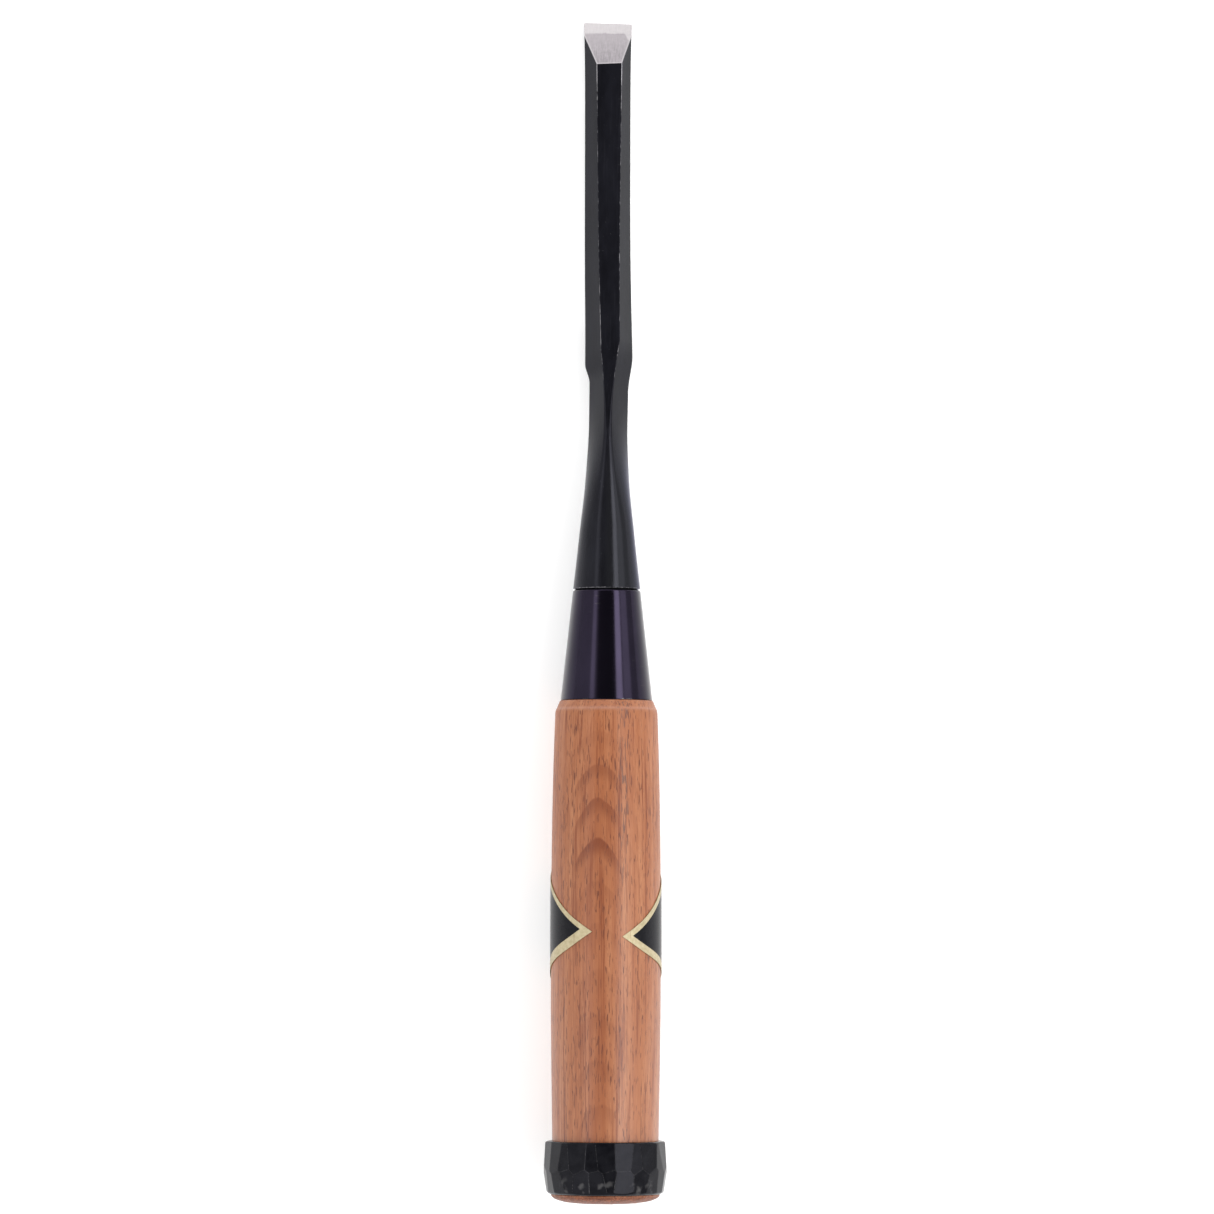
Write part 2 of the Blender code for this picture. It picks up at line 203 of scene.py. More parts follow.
def skin(name, rings, values, loop=False):
    """Skin rings with equal counts of points, and close them by caps or into a loop."""
    rings = np.asarray(rings)
    count, around = rings.shape[:2]
    points = rings.reshape(-1, 3)
    faces = []
    last = count if loop else count - 1
    for row in range(last):
        base, following = row * around, (row + 1) % count * around
        for index in range(around):
            right = (index + 1) % around
            faces.append((base + index, base + right, following + right, following + index))
    values = {key: np.asarray(numbers).reshape(-1) for key, numbers in values.items()}
    if not loop:
        front, rear = len(points), len(points) + 1
        points = np.vstack([points, rings[0].mean(axis=0), rings[-1].mean(axis=0)])
        rest = (count - 1) * around
        for index in range(around):
            right = (index + 1) % around
            faces.append((front, right, index))
            faces.append((rear, rest + index, rest + right))
        for key, numbers in values.items():
            ends = [numbers[:around].mean(), numbers[rest:].mean()]
            values[key] = np.concatenate([numbers, ends])
    return add_piece(name, points, faces, values)


def ripple(points, scale, seed):
    """Smooth noise from -1 to 1 at each point."""
    shift = Vector((seed * 17.3, seed * 5.1, seed * 11.7))
    return np.array([noise.noise(Vector(point) * scale + shift) for point in points])


def turned_rings(profile, around):
    """Rings round the tool axis for a list of (station, radius)."""
    angles = np.linspace(0.0, 2.0 * math.pi, around, endpoint=False)
    rings = []
    for station, radius in profile:
        x, z = radius * np.sin(angles), radius * np.cos(angles)
        rings.append(np.stack([x, np.full(around, -station), z], axis=1))
    return np.array(rings), angles


# ---------------------------------------------------------------- blade shape


def blade_half(station):
    """Half width of the blade, with its two front corners rounded."""
    to_edge = np.clip(WAIST_STATION - station, 0, None) / WAIST_STATION
    to_shoulder = np.clip(station - WAIST_STATION, 0, None) / (BLADE_END - WAIST_STATION)
    half = blend(WAIST_HALF, EDGE_HALF, to_edge**6)
    half = half + (SHOULDER_HALF - WAIST_HALF) * np.clip(to_shoulder**2, 0, 1)
    corner = 0.3
    inward = np.clip(corner - station, 0, corner)
    return half - (corner - np.sqrt(corner**2 - inward**2))


def blade_thickness(station):
    heel = HEEL_THICKNESS / BEVEL_SLOPE
    away = np.clip((station - heel) / (BLADE_END - heel), 0.0, 1.0)
    return blend(HEEL_THICKNESS, SHOULDER_THICKNESS, away**1.6)


def flare_radius(station):
    away = np.clip((station - FLARE_START) / (COLLAR - FLARE_START), 0.0, 1.0)
    return blend(NECK_RADIUS, COLLAR_RADIUS, away**FLARE_POWER)


def flat_edges(station):
    """Left and right edges of the flat on top. Forging left it a little to the right."""
    narrowing = FLAT_TAPER * min(station, BLADE_END)
    left_start, right_start = BLADE_END - 1.8, BLADE_END - 3.8
    to_left = np.clip((station - left_start) / (RIDGE_START - left_start), 0.0, 1.0)
    to_right = np.clip((station - right_start) / (RIDGE_START - right_start), 0.0, 1.0)
    left = blend(FLAT_LEFT + narrowing, -RIDGE_HALF, 1.0 - (1.0 - to_left) ** 1.3)
    right = blend(FLAT_RIGHT - narrowing, RIDGE_HALF, 1.0 - (1.0 - to_right) ** 2.0)
    return left, right


def skew(stations, x):
    """Small slant of the edge and of the bevel's heel, left by hand grinding."""
    edge = EDGE_SLANT * (x + EDGE_HALF) * (1.0 - smoothstep(stations, 0.0, 4.0))
    heel = -HEEL_SLANT * x * np.exp(-(((stations - 7.8) / 2.5) ** 2))
    return stations + edge + heel


def sideways(station):
    """The neck was forged a little to the right of the axis."""
    return NECK_SHIFT * np.exp(-(((station - NECK_SHIFT_STATION) / NECK_SHIFT_LENGTH) ** 2))


def bevel_top(station):
    return station * BEVEL_SLOPE + EDGE_THICKNESS


def steel_top(station):
    """Height of the weld above the back of the blade."""
    scarf = np.clip((STEEL_END - station) / (STEEL_END - STEEL_SCARF_START), 0.0, 1.0)
    return STEEL_THICKNESS * scarf


def body_corners(station):
    """Six corners (x, z) of the iron, from the weld round to the flat on top."""
    on_blade = min(station, BLADE_END)
    half = blade_half(on_blade)
    thick = blade_thickness(on_blade)
    low = steel_top(station) if station < STEEL_END else 0.0
    top = min(thick, bevel_top(station))
    wall = max(min(SIDE_WALL, top - 0.004), low + 0.002)
    top = max(top, wall + 0.002)
    left, right = flat_edges(station)
    up = (top - wall) / (thick - SIDE_WALL)
    if top < thick:
        left = blend(-half, left, up)
        right = blend(half, right, up)
    low, wall, top = low + BACK, wall + BACK, top + BACK
    corners = np.array(
        [(-half, low), (half, low), (half, wall), (right, top), (left, top), (-half, wall)]
    )
    if station <= BLADE_END - 2.0:
        return corners
    radius = flare_radius(station)
    under, below, side = 0.7 * radius, -0.9 * radius, -0.54 * radius
    neck = np.array(
        [(-under, below), (under, below), (radius, side), (right, radius), (left, radius), (-radius, side)]
    )
    left_share = smoothstep(station, BLADE_END + 0.4, NECK_START - 0.6)
    right_share = smoothstep(station, BLADE_END - 1.4, NECK_START + 1.4)
    top_share = smoothstep(station, BLADE_END - 1.0, RIDGE_START)
    shares = [left_share, right_share, right_share, top_share, top_share, left_share]
    return blend(corners, neck, np.array(shares)[:, None])


def rounded_ring(corners, radii, samples):
    """Points round a polygon whose corners are eased by short curves.

    Returns the points and how near each lies to a corner, from 0 on a side to 1 on a corner.
    """
    steps = CORNER_STEPS
    largest = 0.45
    count = len(corners)
    points, nearness = [], []
    for side in range(count):
        before, here = corners[side - 1], corners[side]
        after, beyond = corners[(side + 1) % count], corners[(side + 2) % count]
        length = np.linalg.norm(after - here)
        length_before, length_beyond = np.linalg.norm(before - here), np.linalg.norm(beyond - after)
        cut_here = min(radii[side], largest * length, largest * length_before)
        cut_after = min(radii[(side + 1) % count], largest * length, largest * length_beyond)
        ahead = (after - here) / length
        back = (before - here) / length_before
        onward = (beyond - after) / length_beyond
        for step in range(steps + 1):
            turn = 0.5 + 0.5 * step / steps
            points.append(here + back * cut_here * (1 - turn) ** 2 + ahead * cut_here * turn**2)
            nearness.append(1.0 - step / steps)
        inner = samples[side]
        for step in range(1, inner + 1):
            along = cut_here + (length - cut_here - cut_after) * step / (inner + 1)
            points.append(here + ahead * along)
            nearness.append(0.0)
        for step in range(steps):
            turn = 0.5 * step / steps
            points.append(after - ahead * cut_after * (1 - turn) ** 2 + onward * cut_after * turn**2)
            nearness.append(step / steps)
    return np.array(points), np.array(nearness)


def forged_points(section, station):
    """Points (x, z) of a section put in place, with the slant and the lean of the forging."""
    x = section[:, 0]
    return np.stack([x + sideways(station), -skew(np.full(len(x), station), x), section[:, 1]], axis=1)


BODY_SAMPLES = [34, 5, 26, 30, 26, 5]
BODY_ANGLES = [-135.0, -45.0, -22.5, 67.5, 112.5, 202.5, 225.0]


def body_ring(station):
    """One ring of the iron: eased corners on the blade, a circle at the collar."""
    ridge_round = blend(0.09, 0.3, smoothstep(station, BLADE_END, FLARE_START))
    radii = [0.12, 0.12, 0.35, ridge_round, ridge_round, 0.35]
    flat, _ = rounded_ring(body_corners(station), radii, BODY_SAMPLES)
    angles = []
    for side, inner in enumerate(BODY_SAMPLES):
        total = inner + 2 * CORNER_STEPS + 1
        shares = np.arange(total) / total
        angles.append(blend(BODY_ANGLES[side], BODY_ANGLES[side + 1], shares))
    angles = np.radians(np.concatenate(angles))
    radius = flare_radius(station)
    circle = np.stack([radius * np.cos(angles), radius * np.sin(angles)], axis=1)
    rounding = smoothstep(station, FLARE_START - 7.5, FLARE_START + 21.0)
    section = blend(flat, circle, rounding)
    return forged_points(section, station), angles


def square_ring(angles, half, station):
    """Ring on a square bar, its points at the given angles."""
    reach = half / np.maximum(np.abs(np.cos(angles)), np.abs(np.sin(angles)))
    x, z = reach * np.cos(angles), reach * np.sin(angles)
    return np.stack([x, np.full(len(angles), -station), z], axis=1)


def ridge_wear(station, side):
    """How bright a top ridge is worn: strong by the bevel, then in patches.

    The left ridge, of side -1, has one more bright stretch by the shoulder.
    """
    heel = HEEL_THICKNESS / BEVEL_SLOPE
    behind = max(station - heel, 0.0)
    patches = noise.noise(Vector((station * 0.35, side * 9.0, 4.0)))
    by_bevel = math.exp(-behind / 3.5)
    on_blade = (0.44 + 0.2 * patches) * (1.0 - smoothstep(station, 66.0, 72.0))
    by_shoulder = 0.25 * smoothstep(station, 52.0, 56.0) * (1.0 - smoothstep(station, 60.0, 64.0))
    bright = by_bevel + on_blade + by_shoulder * (side < 0)
    return float(np.clip(bright, 0.0, 1.0))


def bevel_edges(station):
    """Left and right x of the top face at a station on or behind the bevel."""
    thick = blade_thickness(station)
    top = min(thick, bevel_top(station))
    up = max(top - SIDE_WALL, 0.0) / (thick - SIDE_WALL)
    left, right = flat_edges(station)
    half = blade_half(station)
    return blend(-half, left, up), blend(half, right, up)


def make_blade():
    """Iron body, neck, collar and tang.

    'inset' is the distance inside the bevel's outline, 'ridge' the distance to a top ridge and
    'wear' how bright edges are worn there.
    """
    start = (STEEL_THICKNESS - EDGE_THICKNESS + 0.004) / BEVEL_SLOPE
    heel = HEEL_THICKNESS / BEVEL_SLOPE
    stations = np.concatenate(
        [
            np.linspace(start, heel - 0.2, 56),
            np.linspace(heel - 0.15, heel + 0.15, 9),
            np.linspace(heel + 0.3, 59.6, 130),
            np.linspace(60.0, RIDGE_START, 90),
            np.linspace(RIDGE_START + 0.4, COLLAR - 0.35, 64),
        ]
    )
    rings, wear, inset, ridge = [], [], [], []
    for station in stations:
        ring, angles = body_ring(station)
        top_edges = bevel_edges if station < BLADE_END - 2.0 else flat_edges
        left, right = top_edges(station)
        x = ring[:, 0] - sideways(station)
        on_right = x > 0.5 * (left + right)
        upper = ring[:, 2] > BACK + min(SIDE_WALL, bevel_top(station)) + 0.05
        strength = np.where(on_right, ridge_wear(station, 1), ridge_wear(station, -1))
        wear.append(strength * upper)
        apart = np.where(on_right, np.abs(x - right), np.abs(x - left))
        ridge.append(np.where(upper, apart, 1.0))
        inside = np.minimum(np.minimum(x - left, right - x), heel - station)
        inset.append(np.where(upper | (station < WHOLE_BEVEL), inside, -0.3))
        rings.append(ring)
    rim = [(COLLAR - 0.2, 0.0, 0.35), (COLLAR - 0.06, 0.02, 0.65), (COLLAR, 0.1, 0.65)]
    rim += [(COLLAR, 0.3, 0.3), (COLLAR + 0.04, 0.36, 0.0), (COLLAR + GAP - SEAM, 0.4, 0.0)]
    for station, lower, bright in rim:
        radius = COLLAR_RADIUS - lower
        x, z = radius * np.cos(angles), radius * np.sin(angles)
        rings.append(np.stack([x, np.full(len(angles), -station), z], axis=1))
        wear.append(np.full(len(angles), bright))
        ridge.append(np.zeros(len(angles)))
        inset.append(np.full(len(angles), -1.0))
    tang_end = COLLAR + TANG_LENGTH
    for share in np.linspace(0.005, 1.0, 14):
        station = blend(COLLAR, tang_end, share)
        rings.append(square_ring(angles, blend(TANG_ROOT, TANG_TIP, share), station))
        wear.append(np.zeros(len(angles)))
        ridge.append(np.ones(len(angles)))
        inset.append(np.full(len(angles), -1.0))
    values = {"wear": wear[::-1], "inset": inset[::-1], "ridge": ridge[::-1]}
    return skin("blade_iron", rings[::-1], values)


def hollow_height(x, station):
    """Height of the ground hollow above the flat back."""
    rear = STEEL_SCARF_START - 3.0
    if not HOLLOW_FRONT < station < rear:
        return np.zeros_like(x)
    inward = min(station - HOLLOW_FRONT, rear - station, HOLLOW_NOSE) / HOLLOW_NOSE
    half = HOLLOW_HALF * math.sqrt(1.0 - (1.0 - inward) ** 2)
    return HOLLOW_DEPTH * np.clip(1.0 - (x / max(half, 0.01)) ** 2, 0.0, 1.0) * inward**0.5


def make_cutting_steel():
    """Hard steel under the iron: the edge, the flat back and its hollow."""
    stations = np.concatenate(
        [np.linspace(0.0, 2.6, 40), np.linspace(2.8, 10.4, 60), np.linspace(10.8, STEEL_END, 120)]
    )
    rings, bare, hollow = [], [], []
    samples = [60, 3, 40, 3]
    for station in stations:
        half = blade_half(station)
        top = BACK + max(min(bevel_top(station), steel_top(station)), EDGE_THICKNESS)
        corners = np.array([(-half, BACK), (half, BACK), (half, top), (-half, top)])
        flat, nearness = rounded_ring(corners, [0.05] * 4, samples)
        lowest = flat[:, 1] < BACK + 0.003
        rise = np.where(lowest, hollow_height(flat[:, 0], station), 0.0)
        rise = np.minimum(rise, (top - BACK) * 0.6)
        flat[:, 1] += rise
        upper = flat[:, 1] > top - 0.03
        rings.append(forged_points(flat, station))
        on_bevel = upper & (station < STEEL_THICKNESS / BEVEL_SLOPE + 0.1)
        bare.append(np.where(lowest | on_bevel, 1.0, nearness * 0.5))
        hollow.append(np.clip(rise / 0.03, 0.0, 1.0))
    return skin("cutting_steel_plate", rings[::-1], {"bare": bare[::-1], "hollow": hollow[::-1]})


# ---------------------------------------------------------------- turned pieces


def make_ferrule():
    """Conical tube with eased rims and a few knocks along its rear rim."""
    rim = 0.28
    profile = [(FERRULE_START, FERRULE_FRONT - FERRULE_WALL), (FERRULE_START, FERRULE_FRONT - rim)]
    for step in range(1, 6):
        turn = math.pi / 2 * step / 5
        station = FERRULE_START + rim * (1 - math.cos(turn))
        profile.append((station, FERRULE_FRONT - rim + rim * math.sin(turn)))
    rows = 90
    for row in range(1, rows):
        station = blend(FERRULE_START + rim, FERRULE_END - 0.12, row / rows)
        profile.append((station, blend(FERRULE_FRONT, FERRULE_REAR, row / rows)))
    profile += [(FERRULE_END - 0.12, FERRULE_REAR), (FERRULE_END - 0.03, FERRULE_REAR - 0.04)]
    profile += [(FERRULE_END, FERRULE_REAR - 0.12), (FERRULE_END, FERRULE_REAR - FERRULE_WALL)]
    rings, angles = turned_rings(profile, 240)
    wear = np.zeros(rings.shape[:2])
    for row, (station, radius) in enumerate(profile):
        near_rear = math.exp(-max(FERRULE_END - station, 0.0) / 0.16)
        near_front = math.exp(-max(station - FERRULE_START, 0.0) / 0.1)
        near_front *= radius > FERRULE_FRONT - 0.5
        around = np.stack([np.cos(angles) * 5, np.sin(angles) * 5, np.full(len(angles), near_rear)])
        patches = np.clip(ripple(around.T, 1.3, 2) * 2.5, 0.0, 1.0)
        wear[row] = np.clip(near_rear * patches + 0.4 * near_front * patches, 0.0, 1.0)
    return skin("ferrule_cone", rings, {"wear": wear}, loop=True)


def handle_radius(station):
    if station < BELLY:
        away = (BELLY - station) / FRONT_LENGTH
        return blend(BELLY_RADIUS, FRONT_RADIUS, away**3)
    away = min((station - BELLY) / REAR_LENGTH, 1.0)
    return blend(BELLY_RADIUS, REAR_RADIUS, away**1.3)


def make_handle():
    """Turned grip with its tang hole, crushed shoulder crease and mushroomed head."""
    crease = HANDLE_START + CREASE
    under_wall = FERRULE_WALL + 0.1
    profile = [(FERRULE_START, FERRULE_FRONT - under_wall), (HANDLE_START, FERRULE_REAR - under_wall)]
    profile += [(HANDLE_START, 7.6), (HANDLE_START, 8.5), (HANDLE_START + 0.06, 8.62)]
    for share in np.linspace(0.15, 1.0, 9):
        profile.append((blend(HANDLE_START, crease, share), blend(8.62, 9.24, share)))
    for share in np.linspace(0.12, 1.0, 9):
        station = blend(crease, crease + 1.5, share)
        ease = math.sqrt(1 - (1 - share) ** 2)
        profile.append((station, blend(9.24, handle_radius(crease + 1.5), ease)))
    body_start, body_end = crease + 1.5, HOOP_START + 0.2
    rows = 260
    for row in range(1, rows + 1):
        station = blend(body_start, body_end, row / rows)
        profile.append((station, handle_radius(station)))
    profile += [(HOOP_START + 0.8, REAR_RADIUS - 0.25), (HOOP_END - 0.6, REAR_RADIUS - 0.2)]
    head_start = HOOP_END + 0.02
    profile.append((head_start, REAR_RADIUS - 0.1))
    dome = TOOL_LENGTH - 0.02 - head_start
    for turn in np.linspace(0.0, math.pi / 2, 14):
        radius = HEAD_FLAT + (HEAD_RADIUS - HEAD_FLAT) * math.cos(turn) ** 0.9
        profile.append((head_start + 0.05 + (dome - 0.05) * math.sin(turn), radius))
    profile += [(TOOL_LENGTH - 0.015, radius) for radius in (2.6, 1.6, 0.7)]
    rings, angles = turned_rings(profile, 232)
    head_row = next(row for row, (station, _) in enumerate(profile) if station >= head_start)
    for row in range(head_row + 1, len(profile)):
        station, radius = profile[row]
        x, z = np.cos(angles) * radius, np.sin(angles) * radius
        around = np.stack([x, z, np.full(len(angles), station)], axis=1)
        rough = ripple(around, 0.9, 5) * 0.7 + ripple(around, 2.6, 6) * 0.3
        swell = 1.0 + 0.012 * rough * min((radius / HEAD_RADIUS) ** 2, 1.0)
        rings[row][:, 0] *= swell
        rings[row][:, 2] *= swell
        rings[row][:, 1] -= np.clip(0.09 * (rough - 0.3), -0.2, 0.0)
    hole_angles = math.pi / 2 - angles
    end = COLLAR + TANG_LENGTH
    hole = []
    for share in (1.0, 0.75, 0.5, 0.25, 0.0):
        station = blend(FERRULE_START, end, share)
        hole.append(square_ring(hole_angles, blend(TANG_ROOT, TANG_TIP, share) + TANG_CLEARANCE, station))
    rings = np.concatenate([np.array(hole), rings])
    crush = np.zeros(rings.shape[:2])
    for row in range(len(rings)):
        station = -rings[row][0, 1]
        crush[row] = math.exp(-(((station - crease) / 0.35) ** 2))
        if row > len(hole) and station < crease:
            crush[row] = np.maximum(crush[row], 0.25)
    end_grain = smoothstep(-rings[:, :, 1], HOOP_END - 0.1, HOOP_END + 0.5)
    return skin("handle_turned", rings, {"crush": crush, "end_grain": end_grain})


# ---------------------------------------------------------------- hoop


def hoop_facets():
    """Two staggered rows of hammer marks: each one's angle, station, reach, lean and twist."""
    facets = []
    spacing = 2.0 * math.pi / FACETS_ROUND
    middle = blend(HOOP_START, HOOP_END, 0.54)
    for row, (station, tilt) in enumerate(((middle - 2.1, 4.5), (middle + 2.1, -8.5))):
        for index in range(FACETS_ROUND):
            seeds = [(index * 3.7 + 1.3 * part, row * 8.1, part * 5.9) for part in range(5)]
            jitter = [noise.noise(Vector(seed)) for seed in seeds]
            angle = spacing * (index + 0.5 * row + 0.42 * jitter[0])
            lean = math.radians(tilt + 4.5 * jitter[2])
            reach = HOOP_RADIUS * math.cos(spacing / 2) - 2.1 * abs(math.tan(lean)) + 0.07 * jitter[1]
            twist = math.radians(8.0 * jitter[3])
            facets.append((angle, station + 0.3 * jitter[4], reach, lean, twist))
    return facets


def hoop_surface(stations, angles):
    """Radius and ridge nearness of the hammered outside on a grid of stations and angles."""
    grid_station, grid_angle = np.meshgrid(stations, angles, indexing="ij")
    lowest = np.full(grid_station.shape, 50.0)
    second = np.full(grid_station.shape, 50.0)
    soft = np.zeros(grid_station.shape)
    sharpness = 60.0
    for angle, station, reach, lean, twist in hoop_facets():
        turn = (grid_angle - angle + math.pi) % (2 * math.pi) - math.pi
        facing = np.abs(turn) < 0.9
        along = (grid_station - station) * math.tan(lean)
        radius = (reach + along) / np.cos(np.where(facing, turn - twist, 0.0)) * math.cos(twist)
        radius = np.where(facing, radius, 50.0)
        second = np.minimum(second, np.maximum(lowest, radius))
        lowest = np.minimum(lowest, radius)
        soft += np.exp(-sharpness * (np.clip(radius, 0, 20) - 10.0))
    radius = 10.0 - np.log(soft) / sharpness
    return radius, np.exp(-(second - lowest) / 0.04)


def make_hoop():
    """Forged ring with hammered facets, rounded rims and a plain bore."""
    around = 640
    stations = np.linspace(HOOP_START, HOOP_END, 112)
    angles = np.linspace(0.0, 2.0 * math.pi, around, endpoint=False)
    radius, ridge = hoop_surface(stations, angles)
    wavy = np.array([noise.noise(Vector((math.cos(a) * 2, math.sin(a) * 2, 7.0))) for a in angles])
    uneven = np.array([noise.noise(Vector((math.cos(a) * 3, math.sin(a) * 3, 2.0))) for a in angles])
    rings = []
    for row, station in enumerate(stations):
        from_front, from_rear = station - HOOP_START, HOOP_END - station
        front = 1.0 - min(from_front / 0.8, 1.0)
        rear = 1.0 - min(from_rear / 1.3, 1.0)
        cap_front = 10.6 + 0.12 * wavy + 0.62 * math.sqrt(1 - front**2) + 0.22 * from_front
        cap_rear = 10.2 + 0.1 * uneven + 0.66 * math.sqrt(1 - rear**2) + 0.4 * from_rear
        cap = np.minimum(cap_front, cap_rear)
        rounded = 10.0 - np.log(np.exp(-22 * (radius[row] - 10)) + np.exp(-22 * (cap - 10))) / 22
        ridge[row] *= np.clip((cap - radius[row]) / 0.15, 0.0, 1.0)
        x, z = rounded * np.sin(angles), rounded * np.cos(angles)
        rings.append(np.stack([x, np.full(around, -station), z], axis=1))
    profile = [(HOOP_END, HOOP_BORE + 0.25), (HOOP_END - 0.2, HOOP_BORE)]
    profile += [(HOOP_START + 0.2, HOOP_BORE), (HOOP_START, HOOP_BORE + 0.2)]
    inside, _ = turned_rings(profile, around)
    rings = np.concatenate([np.array(rings), inside])
    wear = np.concatenate([ridge, np.zeros((len(profile), around))])
    return skin("hoop_hammered", rings, {"wear": wear}, loop=True)


# ---------------------------------------------------------------- label


def make_label():
    """Film whose ends narrow to points on top. The value 'inset' is negative on the gold border."""
    centre = FERRULE_END + GAP + LABEL_CENTRE
    seat = handle_radius(centre)
    half_round = math.pi * seat
    left_reach, right_reach = half_round - 2.6, half_round - 3.1
    columns, rows = 420, 64
    points, inset = [], []
    for column in range(columns + 1):
        along = blend(-left_reach, right_reach, column / columns)
        reach = left_reach if along < 0 else right_reach
        slant = 0.9 * smoothstep(along, 8.0, right_reach) - 1.2 * smoothstep(reach - abs(along), 3.0, 13.0)
        half = min(LABEL_HALF, LABEL_SLOPE * (reach - abs(along)) + 0.02)
        upper, lower = (1.08, 2.0) if along < 0 else (1.25, 1.45)
        evening = smoothstep(abs(along), 12.0, 20.0)
        upper, lower = blend(1.3, upper, evening), blend(1.3, lower, evening)
        for row in range(rows + 1):
            height = half * (1.0 - 2.0 * row / rows)
            station = centre - height + slant
            radius = handle_radius(station) + LABEL_FILM
            angle = math.pi + along / seat
            points.append((radius * math.sin(angle), -station, radius * math.cos(angle)))
            inset.append(min(half - height - upper, half + height - lower))
    points = np.array(points)
    points[:, 0] *= -1.0
    faces = []
    for column in range(columns):
        for row in range(rows):
            first = column * (rows + 1) + row
            faces.append((first, first + 1, first + rows + 2, first + rows + 1))
    label = add_piece("label_wrap", points, faces, {"inset": inset})
    film = label.modifiers.new("film", "SOLIDIFY")
    film.thickness = (LABEL_FILM - 0.01) * MM
    film.offset = -1.0
    return label


# ---------------------------------------------------------------- materials


class Finish:
    """Short forms for building one material's nodes. Coordinates are in millimetres."""

    def __init__(self, name):
        self.material = bpy.data.materials.new(name)
        self.material.use_nodes = True
        self.tree = self.material.node_tree
        self.shader = self.tree.nodes["Principled BSDF"]
        coordinates = self.tree.nodes.new("ShaderNodeTexCoord")
        back = TOOL.inverted()
        inputs = {"Vector": coordinates.outputs["Object"], "Scale": (1 / MM, 1 / MM, 1 / MM)}
        inputs["Location"] = tuple(back.translation / MM)
        inputs["Rotation"] = tuple(back.to_euler())
        self.place = self.node("ShaderNodeMapping", inputs).outputs[0]

    def feed(self, socket, value):
        if isinstance(value, bpy.types.NodeSocket):
            self.tree.links.new(value, socket)
        else:
            socket.default_value = value

    def node(self, kind, inputs=None, **settings):
        node = self.tree.nodes.new(kind)
        for key, value in settings.items():
            setattr(node, key, value)
        for key, value in (inputs or {}).items():
            self.feed(node.inputs[key], value)
        return node

    def math(self, operation, first, second=0.0):
        return self.node("ShaderNodeMath", {0: first, 1: second}, operation=operation).outputs[0]

    def plus(self, first, second):
        return self.math("ADD", first, second)

    def minus(self, first, second):
        return self.math("SUBTRACT", first, second)

    def times(self, first, second):
        return self.math("MULTIPLY", first, second)

    def centred(self, value, width):
        """A value from 0 to 1 moved to lie round 0, and that wide."""
        return self.times(self.minus(value, 0.5), width)

    def noise(self, scale, detail, rough, offset=(0, 0, 0)):
        """Noise from 0 to 1, with a scale per axis in cycles a millimetre."""
        inputs = {"Vector": self.place, "Scale": scale, "Location": offset}
        where = self.node("ShaderNodeMapping", inputs).outputs[0]
        inputs = {"Vector": where, "Scale": 1.0, "Detail": detail, "Roughness": rough}
        return self.node("ShaderNodeTexNoise", inputs).outputs[0]

    def span(self, value, low, high, to_low=0.0, to_high=1.0):
        """Smooth step of a value from low to high."""
        inputs = {"Value": value, "From Min": low, "From Max": high, "To Min": to_low, "To Max": to_high}
        return self.node("ShaderNodeMapRange", inputs, interpolation_type="SMOOTHSTEP").outputs[0]

    def mix(self, share, first, second):
        mixer = self.node("ShaderNodeMix", data_type="RGBA")
        self.feed(mixer.inputs[0], share)
        for socket, colour in ((mixer.inputs[6], first), (mixer.inputs[7], second)):
            self.feed(socket, colour if isinstance(colour, bpy.types.NodeSocket) else (*colour, 1.0))
        return mixer.outputs[2]

    def value(self, name):
        return self.node("ShaderNodeAttribute", attribute_name=name).outputs["Fac"]

    def axes(self):
        """Sockets of x, the station and z."""
        x, y, z = self.node("ShaderNodeSeparateXYZ", {0: self.place}).outputs
        return x, self.times(y, -1.0), z

    def bump(self, height, distance, strength):
        inputs = {"Height": height, "Distance": distance * MM, "Strength": strength}
        return self.node("ShaderNodeBump", inputs).outputs[0]

    def set(self, **inputs):
        """Feed the shader's sockets. A plain number or colour is set on the socket itself."""
        for key, value in inputs.items():
            name = key.replace("_", " ")
            if isinstance(value, tuple):
                value = (*value, 1.0)
            self.feed(self.shader.inputs[name], value)


def bevel_colour(finish, station, across):
    """Ground bevel: bright hard steel at the edge, greyer iron behind a soft wavy weld line.

    Returns its colour and the tone of its grinding marks, from 0 to 1.
    """
    streaks = finish.noise((5.0, 0.5, 0.5), 3.0, 0.6)
    mottle = finish.noise((1.6, 1.6, 1.6), 3.0, 0.6, offset=(3, 0, 0))
    wave = finish.noise((0.9, 0.3, 0.3), 3.0, 0.6, offset=(7, 0, 0))
    border = finish.plus(station, finish.centred(wave, 0.9))
    border = finish.minus(border, finish.span(across, 2.9, 4.2, 0.0, 1.6))
    in_iron = finish.span(border, 1.95, 2.5)
    grey = finish.span(station, 2.3, 7.6)
    tone = finish.plus(finish.times(streaks, 0.6), finish.times(mottle, 0.4))
    iron = finish.mix(grey, (0.32, 0.298, 0.31), (0.235, 0.218, 0.23))
    iron = finish.mix(finish.span(tone, 0.35, 0.65, 0.0, 0.8), iron, (0.355, 0.33, 0.345))
    steel = finish.mix(finish.span(tone, 0.3, 0.7), (0.41, 0.388, 0.396), (0.47, 0.447, 0.455))
    return finish.mix(in_iron, steel, iron), tone


